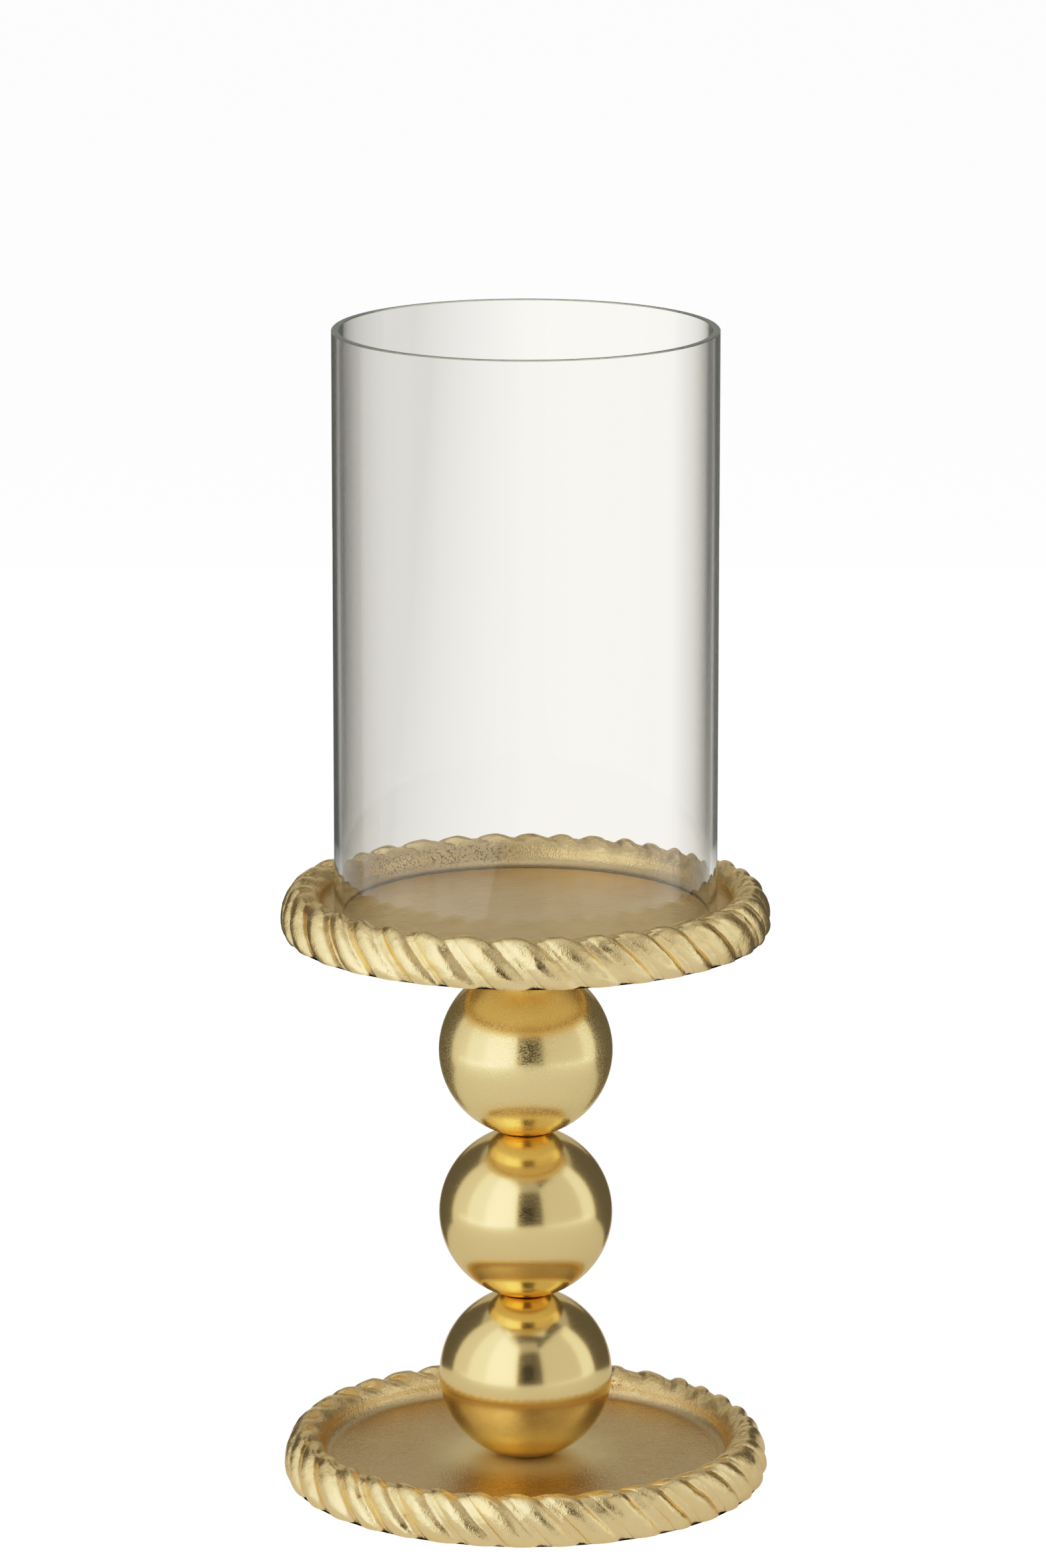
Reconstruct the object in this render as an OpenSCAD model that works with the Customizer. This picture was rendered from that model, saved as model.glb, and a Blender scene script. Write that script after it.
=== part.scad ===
// Pillar candle holder: an open glass cylinder standing in a rope-rimmed dish, on a column of
// three balls over a matching dish that is the base.
// Millimetres, +Z up. The origin is on the table, on the holder's axis.

/* [Glass] */
// Outer radius of the glass cylinder
glass_r = 70; // [60:0.5:80]
// Height of the glass cylinder
glass_h = 214.5; // [120:0.5:300]
// Thickness of the glass
glass_wall = 2.7; // [2:0.1:4]

/* [Dishes] */
// Height of a dish's floor above the flat underside of its rim
floor_z = 8.1; // [7.8:0.1:9]
// Thickness of a dish's floor
floor_t = 3.2; // [2.8:0.1:3.3]
// Radius of the fillet between a dish's floor and its inner wall
fillet_r = 4.6; // [4:0.1:5]
// Height of the hub under the candle dish, from its floor's underside to the top ball
hub_h = 18.7; // [17:0.1:30]
// Radius of the hub where it stands on the top ball
hub_r = 13; // [10:0.5:16]

/* [Rope rim] */
// Height of the rope's crest above the flat underside of the rim
rim_h = 17.6; // [17:0.1:19]
// Width of the rope inwards from its crest
rope_in = 6.5; // [6:0.1:7]
// Width of the rope outwards from its crest
rope_out = 8; // [7.5:0.1:9]
// Number of strands that show round the rim
strands = 36; // [24:1:44]
// Depth of the crease between two strands
crease_depth = 1.8; // [1:0.1:2.2]
// Angle that a strand advances round the dish from its inner to its outer end
strand_lean = 15; // [6:1:20]

/* [Balls] */
// Radius of a ball
ball_r = 32; // [28:0.5:36]
// Height of a ball between the small flats on which it stands and carries the next
ball_h = 61.7; // [54:0.1:71]
// Thickness of a ball's shell
ball_wall = 2.2; // [1.6:0.1:3]

/* [Rod and nut] */
// Radius of the threaded rod
rod_r = 3; // [2.5:0.1:3]
// Length of thread that is screwed into the hub
rod_grip = 13; // [8:0.5:14]
// Thickness of each washer under the base
washer_t = 1.6; // [1:0.1:1.6]
// Thickness of the nut
nut_t = 3.2; // [2.5:0.1:3.2]
// Width of the nut across its flats
nut_flats = 10; // [9:0.5:12]

/* [Feet] */
// Thickness of a foot
foot_t = 2; // [2:0.1:4]
// Radius of a foot
foot_r = 5; // [3:0.5:5]

/* [Hidden] */
$fn = 96;

// The glass stands on the flat floor with this much left before the fillet
seat_margin = 0.6;
floor_r = glass_r + seat_margin;
wall_r = floor_r + fillet_r;
crest_r = wall_r + rope_in;
// The section is shifted by this much so that the rope's inner ends sink into the dish's wall
rope_sink = 0.3;
under_z = floor_z - floor_t;

// Rope section, a chain of elliptical arcs: inner flank, outer flank and the tuck under the belly
belly_z = 4.8;
tuck_h = 8;
inner_arc_h = 5.6;
inner_angle = 175;
outer_angle = -asin(belly_z / tuck_h);
rope_rows = 8;
strand_columns = 4;
// Foot of the rim: the flat ring that the feet are stuck to, and the recess wall inside it
ring_in_r = floor_r + 0.4;

// Heights of the column, from the table up
base_z = foot_t;
ball_z = [for (i = [0:2]) base_z + floor_z + ball_h * (i + 0.5)];
hub_z = base_z + floor_z + 3 * ball_h;
candle_z = hub_z + hub_h - under_z;
glass_z = candle_z + floor_z;
washer_z = base_z + under_z - washer_t;
lock_z = washer_z - washer_t;
nut_z = lock_z - nut_t;
rod_z = nut_z + 0.1;
rod_top_z = hub_z + rod_grip;

thread_gap = 0.05;
hole_gap = 0.3;
hub_hole_depth = 15.5;
edge = 0.4;
feet_r = ring_in_r + 1 + foot_r;

glass_colour = [0.86, 0.89, 0.86, 0.4];
gilt_colour = [0.85, 0.74, 0.50];
ball_colour = [0.84, 0.68, 0.33];
zinc_colour = [0.72, 0.72, 0.70];
felt_colour = [0.20, 0.17, 0.14];

// ---- The rope rim, one ring with a flat underside ----

// Relief across a strand, an arc from crease to crease: 0 on its crown, 1 in the crease
function relief(c) =
    let (across = 2 * (c % strand_columns) / strand_columns - 1)
    1 - sqrt(1 - pow(across, 2));

function row_angle(k) = inner_angle + (outer_angle - inner_angle) * k / rope_rows;

// Radius and height of the rope's surface at section angle a, with the surface sunk by depth d
function rope_point(a, d) =
    a > 90 ? [crest_r + (rope_in - rope_sink - d) * cos(a), rim_h - inner_arc_h + (inner_arc_h - d) * sin(a)]
    : a > 0 ? [crest_r + (rope_out - d) * cos(a), belly_z + (rim_h - belly_z - d) * sin(a)]
    : [crest_r + (rope_out - d) * cos(a), belly_z + tuck_h * sin(a)];

function ring_point(k, c) =
    let (
        lean = strand_lean * min(k, rope_rows) / rope_rows,
        turn = 360 * c / (strands * strand_columns) + (k > rope_rows ? 0 : lean),
        rz = k <= rope_rows ? rope_point(row_angle(k), crease_depth * relief(c))
            : k == rope_rows + 1 ? [ring_in_r, 0]
            : k == rope_rows + 2 ? [ring_in_r, under_z + 1]
            : [crest_r - rope_in / 2 - 1, floor_z + 3]
    )
    [rz[0] * cos(turn), rz[0] * sin(turn), rz[1]];

module rope_ring() {
    rows = rope_rows + 4;
    columns = strands * strand_columns;
    points = [for (k = [0:rows - 1], c = [0:columns - 1]) ring_point(k, c)];
    function at(k, c) = (k % rows) * columns + c % columns;
    faces = [
        for (k = [0:rows - 1], c = [0:columns - 1])
            each [
                [at(k, c), at(k + 1, c + 1), at(k + 1, c)],
                [at(k, c), at(k, c + 1), at(k + 1, c + 1)]
            ]
    ];
    polyhedron(points, faces);
}

// ---- The two castings ----

// Half section of the dish: floor, fillet and the low wall that the strands grow out of
module dish_section() {
    wall_top = rim_h - 3.6;
    hidden_r = crest_r - 1.7;
    polygon([
        [0, under_z], [hidden_r, under_z], [hidden_r, wall_top - 2], [wall_r + 0.8, wall_top],
        [wall_r, floor_z + fillet_r], [wall_r, floor_z], [0, floor_z]
    ]);
    difference() {
        translate([floor_r, floor_z]) square(fillet_r);
        translate([floor_r, floor_z + fillet_r]) circle(fillet_r);
    }
}

module dish() {
    rope_ring();
    rotate_extrude() dish_section();
}

// Half section of the hub, flared where it joins the floor
module hub_section() {
    flare_r = 8;
    square([hub_r, hub_h + floor_t / 2]);
    difference() {
        translate([hub_r, hub_h - flare_r]) square(flare_r);
        translate([hub_r + flare_r, hub_h - flare_r]) circle(flare_r);
    }
}

module candle_plate() {
    color(gilt_colour)
    difference() {
        union() {
            translate([0, 0, candle_z]) dish();
            translate([0, 0, hub_z]) rotate_extrude() hub_section();
        }
        translate([0, 0, hub_z - 1]) cylinder(r = rod_r + thread_gap, h = hub_hole_depth + 1);
    }
}

module base_plate() {
    color(gilt_colour)
    translate([0, 0, base_z])
    difference() {
        dish();
        translate([0, 0, -1]) cylinder(r = rod_r + hole_gap, h = rim_h);
    }
}

// ---- The glass ----

module glass_cylinder() {
    inner_r = glass_r - glass_wall;
    color(glass_colour)
    translate([0, 0, glass_z])
    rotate_extrude()
    polygon([
        [inner_r + edge, 0], [glass_r - edge, 0], [glass_r, edge], [glass_r, glass_h - edge],
        [glass_r - edge, glass_h], [inner_r + edge, glass_h], [inner_r, glass_h - edge], [inner_r, edge]
    ]);
}

// ---- The balls, hollow, with a small flat and a hole at each end ----

module ball(z) {
    color(ball_colour)
    translate([0, 0, z])
    difference() {
        intersection() {
            sphere(ball_r);
            cube([2 * ball_r, 2 * ball_r, ball_h], center = true);
        }
        sphere(ball_r - ball_wall);
        cylinder(r = rod_r + hole_gap, h = 2 * ball_r, center = true);
    }
}

module ball_upper() { ball(ball_z[2]); }
module ball_middle() { ball(ball_z[1]); }
module ball_lower() { ball(ball_z[0]); }

// ---- The rod that draws the column together, and what holds it under the base ----

module threaded_rod() {
    chamfer = 0.8;
    color(zinc_colour)
    translate([0, 0, rod_z])
    rotate_extrude()
    polygon([
        [0, 0], [rod_r - chamfer, 0], [rod_r, chamfer], [rod_r, rod_top_z - rod_z - chamfer],
        [rod_r - chamfer, rod_top_z - rod_z], [0, rod_top_z - rod_z]
    ]);
}

module washer(z, outer_r, inner_r) {
    translate([0, 0, z])
    difference() {
        cylinder(r = outer_r, h = washer_t);
        translate([0, 0, -1]) cylinder(r = inner_r, h = washer_t + 2);
    }
}

module base_washer() {
    color(zinc_colour) washer(washer_z, 3 * rod_r, rod_r + 0.2);
}

// A split spring washer, pressed flat
module lock_washer() {
    slit = 0.8;
    color(zinc_colour)
    difference() {
        washer(lock_z, 1.95 * rod_r, rod_r + 0.1);
        translate([0, -slit / 2, lock_z - 1]) rotate([0, 0, 20]) cube([3 * rod_r, slit, washer_t + 2]);
    }
}

module base_nut() {
    corner_r = nut_flats / 2 / cos(30);
    chamfer = 0.5;
    color(zinc_colour)
    translate([0, 0, nut_z])
    difference() {
        intersection() {
            cylinder(r = corner_r, h = nut_t, $fn = 6);
            rotate_extrude()
            polygon([
                [0, 0], [corner_r - 2 * chamfer, 0], [corner_r, chamfer], [corner_r, nut_t - chamfer],
                [corner_r - 2 * chamfer, nut_t], [0, nut_t]
            ]);
        }
        translate([0, 0, -1]) cylinder(r = rod_r + thread_gap, h = nut_t + 2);
    }
}

// ---- The feet, felt discs stuck under the rim ----

module foot(quarter) {
    color(felt_colour)
    rotate([0, 0, 45 + 90 * quarter])
    translate([feet_r, 0, 0])
    rotate_extrude()
    polygon([
        [0, 0], [foot_r - edge, 0], [foot_r, edge], [foot_r, foot_t], [0, foot_t]
    ]);
}

module base_foot_1() { foot(0); }
module base_foot_2() { foot(1); }
module base_foot_3() { foot(2); }
module base_foot_4() { foot(3); }

glass_cylinder();
candle_plate();
ball_upper();
ball_middle();
ball_lower();
base_plate();
threaded_rod();
base_washer();
lock_washer();
base_nut();
base_foot_1();
base_foot_2();
base_foot_3();
base_foot_4();
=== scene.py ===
import math

import bpy
import numpy as np
from mathutils import Matrix, Vector


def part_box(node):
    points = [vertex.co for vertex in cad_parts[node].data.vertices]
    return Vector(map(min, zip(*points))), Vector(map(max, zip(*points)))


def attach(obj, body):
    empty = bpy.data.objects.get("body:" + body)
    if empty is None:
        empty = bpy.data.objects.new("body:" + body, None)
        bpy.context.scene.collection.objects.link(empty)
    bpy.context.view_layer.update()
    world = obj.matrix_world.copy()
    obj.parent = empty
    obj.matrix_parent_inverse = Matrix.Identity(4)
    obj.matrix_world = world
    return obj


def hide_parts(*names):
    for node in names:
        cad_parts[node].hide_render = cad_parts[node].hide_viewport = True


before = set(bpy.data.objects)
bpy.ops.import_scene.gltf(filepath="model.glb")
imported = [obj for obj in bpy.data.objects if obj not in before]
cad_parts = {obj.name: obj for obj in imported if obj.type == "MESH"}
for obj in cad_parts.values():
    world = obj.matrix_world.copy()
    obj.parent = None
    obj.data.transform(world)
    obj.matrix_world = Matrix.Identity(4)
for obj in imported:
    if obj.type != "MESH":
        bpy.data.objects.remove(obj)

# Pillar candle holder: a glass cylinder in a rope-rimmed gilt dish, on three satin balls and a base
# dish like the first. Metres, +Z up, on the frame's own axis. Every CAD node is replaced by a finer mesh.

MM = 0.001
TURN = 2 * math.pi
GOLD_TINT = (0.98, 0.88, 0.70, 1)
PALE = (1, 1, 0.995, 1)
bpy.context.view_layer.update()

# ---- Sizes, those of the CAD model. Heights are above a dish's flat underside. ----

GLASS_LOW, GLASS_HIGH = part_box("glass_cylinder")
GLASS_R = GLASS_HIGH.x
GLASS_WALL = 2.7 * MM
FLOOR_Z = 8.1 * MM
FLOOR_T = 3.2 * MM
FILLET_R = 4.6 * MM
FLOOR_R = GLASS_R + 0.6 * MM
WALL_R = FLOOR_R + FILLET_R
RIM_H = 17.6 * MM
ROPE_IN = 6.5 * MM
ROPE_OUT = 8 * MM
ROPE_SINK = 0.3 * MM
CREST_R = WALL_R + ROPE_IN
INNER_ARC_H = 5.6 * MM
BELLY_Z = 4.8 * MM
TUCK_H = 8 * MM
RING_IN_R = FLOOR_R + 0.4 * MM
UNDER_Z = FLOOR_Z - FLOOR_T
HUB_R = 13 * MM
HUB_FLARE_R = 8 * MM
BORE_R = 3.05 * MM
BORE_DEPTH = 15.5 * MM
HOLE_R = 3.3 * MM
BALL_R = 32 * MM
BALL_WALL = 2.2 * MM
THREAD_PITCH = 1 * MM
THREAD_DEPTH = 0.5 * MM

# The rope's relief is finer than the CAD's. RELIEF_SHARE is how much of it is left at the section angles
# RELIEF_AT, in degrees: 0 is outwards, 90 is the crest, and above 90 is the inner flank.
STRANDS = 36
STRAND_LEAN = math.radians(15)
STRAND_COLUMNS = 24
CREASE_DEPTH = 2.3 * MM
CROWN_RISE = 0.5 * MM
RELIEF_AT = (-37, 5, 45, 77, 103, 122, 145, 161)
RELIEF_SHARE = (0.80, 1.0, 0.95, 0.50, 0.74, 0.48, 0.20, 0.0)
ROPE_ROWS = 60
ROPE_START = math.radians(RELIEF_AT[-1])
ROPE_END = -math.asin(BELLY_Z / TUCK_H)


# ---- Mesh helpers ----

def smoothstep(low, high, x):
    """0 at low, 1 at high, with a smooth ramp between them."""
    t = np.clip((x - low) / (high - low), 0, 1)
    return t * t * (3 - 2 * t)


def waves(points, rng, length, count=28):
    """Smooth random relief, about -1 to 1, with bumps some `length` metres across, at each of the points."""
    total = np.zeros(points.shape[:-1])
    for _ in range(count):
        direction = rng.normal(size=3)
        direction /= np.linalg.norm(direction)
        wave_length = length * rng.uniform(0.7, 1.5)
        phase = rng.uniform(0, TURN)
        total += np.cos(points @ direction * (TURN / wave_length) + phase)
    return total / math.sqrt(count)


def volume_of(mesh):
    """Signed volume, negative where the faces point inwards."""
    mesh.calc_loop_triangles()
    corners = np.empty(len(mesh.loop_triangles) * 3, np.int32)
    mesh.loop_triangles.foreach_get("vertices", corners)
    places = np.empty(len(mesh.vertices) * 3, np.float32)
    mesh.vertices.foreach_get("co", places)
    a, b, c = np.moveaxis(places.reshape(-1, 3)[corners.reshape(-1, 3)].astype(float), 1, 0)
    return float(np.einsum("ij,ij->i", a, np.cross(b, c)).sum()) / 6


def ring_faces(rows, columns, closed):
    """Quads between rows of `columns` points each. closed joins the last row to the first."""
    row = np.arange(rows if closed else rows - 1)[:, None]
    column = np.arange(columns)[None, :]
    nxt = (column + 1) % columns
    above = (row + 1) % rows
    corners = [row * columns + column, row * columns + nxt, above * columns + nxt, above * columns + column]
    return np.stack(corners, -1).reshape(-1, 4).tolist()


def ring_mesh(name, grid, start="open", end="open", materials=(), sharp=40):
    """A mesh from rings of points (rows, columns, 3). Where start and end are both "open", the last ring
    joins the first. "point" closes an end with a fan, and "bare" leaves its edge free."""
    rows, columns = grid.shape[:2]
    points = grid.reshape(-1, 3).tolist()
    faces = ring_faces(rows, columns, closed=(start == "open" and end == "open"))
    for which, kind in ((0, start), (rows - 1, end)):
        if kind == "point":
            points.append(grid[which].mean(0).tolist())
            ring = [which * columns + c for c in range(columns)]
            turned = ring if which else ring[::-1]
            faces += [[turned[i], turned[(i + 1) % columns], len(points) - 1] for i in range(columns)]
    mesh = bpy.data.meshes.new(name)
    mesh.from_pydata(points, [], faces)
    mesh.update()
    if volume_of(mesh) < 0:
        mesh.flip_normals()
    mesh.polygons.foreach_set("use_smooth", [True] * len(mesh.polygons))
    mesh.set_sharp_from_angle(angle=math.radians(sharp))
    for material in materials:
        mesh.materials.append(material)
    made = bpy.data.objects.new(name, mesh)
    bpy.context.scene.collection.objects.link(made)
    return made


def spun(section, columns):
    """Rings of points from a half section of (radius, height) pairs, turned round the Z axis."""
    section = np.array(section, float)
    angle = np.arange(columns) * TURN / columns
    radius = section[:, 0][:, None]
    height = np.broadcast_to(section[:, 1][:, None], (len(section), columns))
    return np.stack([radius * np.cos(angle), radius * np.sin(angle), height], -1)


def arc(centre, radius, start, end, steps):
    """Points (radius, height) on an arc in a half section, angles in degrees."""
    return [
        (centre[0] + radius * math.cos(math.radians(a)), centre[1] + radius * math.sin(math.radians(a)))
        for a in np.linspace(start, end, steps)
    ]


def add_attribute(piece, name, values):
    """One number per point for the shaders. The fans' middle points, which come last, get 0."""
    flat = np.zeros(len(piece.data.vertices), np.float32)
    flat[:values.size] = values.ravel()
    piece.data.attributes.new(name, "FLOAT", "POINT").data.foreach_set("value", flat)


def place(piece, body, slot, *nodes):
    """Rides the piece on its body, and hides the CAD nodes it stands for. slot is not used."""
    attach(piece, body)
    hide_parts(*nodes)
    return piece


# ---- Materials ----

class Shader:
    """One material's node tree, with short calls to add nodes to it."""

    def __init__(self, name):
        self.material = bpy.data.materials.new(name)
        self.material.use_nodes = True
        self.tree = self.material.node_tree
        self.bsdf = self.tree.nodes["Principled BSDF"]
        self.coords = self.add("ShaderNodeTexCoord").outputs["Object"]

    def add(self, kind, **settings):
        made = self.tree.nodes.new(kind)
        for key, value in settings.items():
            setattr(made, key, value)
        return made

    def put(self, socket, value):
        if isinstance(value, bpy.types.NodeSocket):
            self.tree.links.new(value, socket)
        else:
            socket.default_value = value

    def set(self, name, value):
        self.put(self.bsdf.inputs[name], value)

    def noise(self, scale, detail=3.0, rough=0.5, stretch=(1, 1, 1), distortion=0.0):
        stretched = self.add("ShaderNodeMapping")
        self.put(stretched.inputs["Vector"], self.coords)
        stretched.inputs["Scale"].default_value = stretch
        made = self.add("ShaderNodeTexNoise")
        self.put(made.inputs["Vector"], stretched.outputs["Vector"])
        made.inputs["Scale"].default_value = scale
        made.inputs["Detail"].default_value = detail
        made.inputs["Roughness"].default_value = rough
        made.inputs["Distortion"].default_value = distortion
        return made.outputs["Fac"]

    def drawn_lines(self, lane):
        """Lines that run down the rope's drawn beds. lane is the place across the bed."""
        across = self.add("ShaderNodeCombineXYZ")
        self.put(across.inputs["X"], self.math("MULTIPLY", lane, 5.5))
        self.put(across.inputs["Y"], self.math("MULTIPLY", self.attribute("along"), 1.3))
        self.put(across.inputs["Z"], self.noise(30, 1, 0.5))
        made = self.add("ShaderNodeTexNoise")
        self.put(made.inputs["Vector"], across.outputs["Vector"])
        made.inputs["Scale"].default_value = 1.0
        made.inputs["Detail"].default_value = 2.5
        return made.outputs["Fac"]

    def attribute(self, name):
        return self.add("ShaderNodeAttribute", attribute_name=name).outputs["Fac"]

    def remap(self, value, low, high, to_low=0.0, to_high=1.0):
        made = self.add("ShaderNodeMapRange", clamp=True)
        self.put(made.inputs["Value"], value)
        for socket, number in zip(made.inputs[1:5], (low, high, to_low, to_high)):
            socket.default_value = number
        return made.outputs["Result"]

    def math(self, operation, a, b=0.5):
        made = self.add("ShaderNodeMath", operation=operation)
        self.put(made.inputs[0], a)
        self.put(made.inputs[1], b)
        return made.outputs["Value"]

    def mix(self, share, a, b):
        made = self.add("ShaderNodeMix", data_type="RGBA")
        self.put(made.inputs["Factor"], share)
        self.put(made.inputs["A"], a)
        self.put(made.inputs["B"], b)
        return made.outputs["Result"]

    def bump(self, height, distance, below=None, strength=1.0):
        made = self.add("ShaderNodeBump")
        made.inputs["Distance"].default_value = distance
        self.put(made.inputs["Strength"], strength)
        self.put(made.inputs["Height"], height)
        if below is not None:
            self.put(made.inputs["Normal"], below)
        return made.outputs["Normal"]


def gilt_material():
    """Gold leaf over a sand casting: ochre in the creases, pitted and grainy on the walls and floors, and a
    painted glow on the base floor round the lowest ball, brighter, yellower and less metallic, standing in
    for the ball's amber reflection."""
    s = Shader("gilt_casting")
    crease = s.attribute("crease")
    floor = s.attribute("floor")
    grit = s.attribute("grit")
    stain = s.attribute("stain")
    lane = s.attribute("lane")
    patches = s.noise(95, 4, 0.6)
    specks = s.noise(900, 2, 0.5)
    leaf = s.mix(s.remap(patches, 0.3, 0.7), (0.95, 0.725, 0.355, 1), (0.90, 0.65, 0.285, 1))
    ochre = s.math("MAXIMUM", crease, s.math("MULTIPLY", grit, 0.45))
    deep = s.math("MULTIPLY", ochre, s.remap(specks, 0.25, 0.6, 0.55, 0.9))
    colour = s.mix(deep, leaf, (0.95, 0.70, 0.34, 1))
    tarnish = s.math("MULTIPLY", s.attribute("tarnish"), s.remap(s.noise(1100, 3, 0.6), 0.545, 0.585))
    colour = s.mix(tarnish, colour, (0.32, 0.18, 0.075, 1))
    sandy = s.mix(s.remap(specks, 0.35, 0.7), (0.62, 0.455, 0.235, 1), (0.50, 0.355, 0.175, 1))
    sandy = s.mix(s.remap(floor, 0.5, 0.9), (0.62, 0.52, 0.37, 1), sandy)
    mottled = s.mix(s.remap(s.noise(45, 4, 0.6), 0.35, 0.65, 0, 0.3), sandy, (0.50, 0.38, 0.22, 1))
    colour = s.mix(s.math("MULTIPLY", floor, 0.9), colour, mottled)
    # Painted glow round the lowest ball's foot: brighter yellow, less metallic and rougher, standing in for
    # the amber light the ball reflects onto the floor.
    painted_ball_glow = s.attribute("painted_ball_glow")
    colour = s.mix(painted_ball_glow, colour, (0.97, 0.82, 0.40, 1))
    colour = s.mix(stain, colour, (0.30, 0.09, 0.02, 1))
    s.set("Base Color", colour)
    s.set("Metallic", s.remap(painted_ball_glow, 0, 1, 1.0, 0.72))
    s.set("Specular Tint", GOLD_TINT)
    rough = s.remap(s.noise(260, 3, 0.55), 0.3, 0.7, 0.13, 0.21)
    rough = s.math("ADD", rough, s.math("MULTIPLY", floor, 0.10))
    rough = s.math("ADD", rough, s.math("MULTIPLY", crease, 0.16))
    rough = s.math("ADD", rough, s.math("MULTIPLY", grit, 0.17))
    rough = s.math("ADD", rough, s.math("MULTIPLY", painted_ball_glow, 0.18))
    rough = s.math("ADD", rough, s.math("MULTIPLY", stain, 0.30))
    s.set("Roughness", rough)
    peel = s.bump(s.noise(150, 2, 0.5), 0.25 * MM, strength=0.5)
    wrinkles = s.noise(460, 3, 0.6, distortion=1.2)
    creased = s.bump(wrinkles, 0.24 * MM, peel, strength=s.remap(s.noise(60, 2, 0.5), 0.35, 0.65, 0.3, 1.0))
    smooth = s.remap(floor, 0.2, 0.5, 1.0, 0.3)
    coarse = s.math("MULTIPLY", s.remap(s.noise(110, 2, 0.5), 0.36, 0.60, 0.25, 1.0), smooth)
    grainy = s.bump(s.noise(1150, 4, 0.65), 0.20 * MM, creased, strength=coarse)
    rough_cast = s.remap(s.math("MAXIMUM", floor, grit), 0.2, 0.9)
    cast = s.math("MULTIPLY", rough_cast, s.remap(s.noise(40, 2, 0.5), 0.3, 0.7, 0.6, 1.0))
    grainy = s.bump(s.noise(1300, 2, 0.55, stretch=(1, 0.3, 1)), 0.26 * MM, grainy, strength=cast)
    s.set("Normal", s.bump(s.drawn_lines(lane), 0.13 * MM, grainy, strength=s.remap(lane, 0.02, 0.2)))
    return s.material


def satin_material():
    """Lacquered brass with the fine lines of lathe polishing, hazed where a ball is dull."""
    s = Shader("satin_gold")
    lines = s.noise(520, 3, 0.6, stretch=(0.12, 0.12, 4.0))
    cross = s.noise(700, 2, 0.5, stretch=(2.5, 2.5, 0.10))
    cloud = s.noise(38, 3, 0.5)
    tint = s.mix(s.remap(cloud, 0.3, 0.7), (0.905, 0.675, 0.295, 1), (0.88, 0.64, 0.26, 1))
    dull = s.attribute("dull")
    s.set("Base Color", s.mix(s.math("MULTIPLY", dull, 0.8), tint, (0.945, 0.715, 0.315, 1)))
    s.set("Metallic", 1.0)
    s.set("Specular Tint", GOLD_TINT)
    rough = s.remap(lines, 0.3, 0.7, 0.13, 0.17)
    rough = s.math("ADD", rough, s.remap(cloud, 0.35, 0.75, 0.0, 0.03))
    haze = s.remap(s.noise(1300, 2, 0.6, stretch=(1, 1, 3)), 0.44, 0.60, 0.0, 0.20)
    rough = s.math("ADD", rough, s.math("MULTIPLY", dull, haze))
    s.set("Roughness", rough)
    brushed = s.bump(lines, 0.0035 * MM, strength=0.6)
    crossed = s.bump(cross, 0.003 * MM, brushed, strength=0.5)
    s.set("Normal", s.bump(s.noise(1900, 2, 0.5), 0.0025 * MM, crossed, strength=0.5))
    return s.material


def glass_material():
    """Clear glass with faint drawn streaks. Its near-black colour at low angles is painted shade, set to
    match the dark edges that such a glass shows against a bright background, and isn't that of real glass; it
    is weaker near the foot."""
    s = Shader("clear_glass")
    weight = s.add("ShaderNodeLayerWeight")
    weight.inputs["Blend"].default_value = 0.5
    low_angle = s.remap(weight.outputs["Facing"], 0.36, 0.79)
    height = s.add("ShaderNodeSeparateXYZ")
    s.put(height.inputs[0], s.coords)
    foot_z = GLASS_LOW.z
    off_foot = s.remap(height.outputs["Z"], foot_z + 12 * MM, foot_z + 28 * MM, 0.25, 1.0)
    # Painted shade: the glass darkens to near black at low angles, a quarter as much near its foot.
    painted_edge_shade = s.math("MULTIPLY", low_angle, off_foot)
    s.set("Base Color", s.mix(painted_edge_shade, (0.97, 0.962, 0.94, 1), (0.012, 0.0135, 0.010, 1)))
    s.set("Transmission Weight", 1.0)
    s.set("IOR", 1.5)
    s.set("Specular Tint", (0.3, 0.3, 0.3, 1))
    s.set("Roughness", s.remap(s.noise(60, 3, 0.5), 0.35, 0.75, 0.0, 0.012))
    streaks = s.noise(55, 2, 0.4, stretch=(1, 1, 0.06))
    s.set("Normal", s.bump(streaks, 0.02 * MM, strength=0.35))
    return s.material


def ground_glass_material():
    """The cylinder's ground ends, frosted, in the glass's own olive tint, darkened as painted shade for the
    dark line that the glass's ends show.
    """
    s = Shader("ground_glass")
    # Olive is the glass's tint; the darkness of these colours is painted shade.
    s.set("Base Color", s.mix(s.remap(s.noise(700), 0.3, 0.7), (0.28, 0.32, 0.23, 1), (0.19, 0.22, 0.15, 1)))
    s.set("Transmission Weight", 0.6)
    s.set("IOR", 1.5)
    s.set("Roughness", s.remap(s.noise(1800, 2), 0.3, 0.7, 0.25, 0.5))
    s.set("Normal", s.bump(s.noise(2600, 2), 0.02 * MM, strength=0.6))
    return s.material


def zinc_material():
    """Bright zinc on rolled steel, patchy in colour and roughness."""
    s = Shader("zinc_steel")
    patches = s.noise(240, 4, 0.6)
    s.set("Base Color", s.mix(s.remap(patches, 0.3, 0.7), (0.74, 0.73, 0.70, 1), (0.58, 0.58, 0.57, 1)))
    s.set("Metallic", 1.0)
    s.set("Roughness", s.remap(s.noise(1100, 3), 0.3, 0.7, 0.26, 0.46))
    s.set("Normal", s.bump(s.noise(1500, 3, 0.6), 0.012 * MM, strength=0.6))
    return s.material


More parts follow.
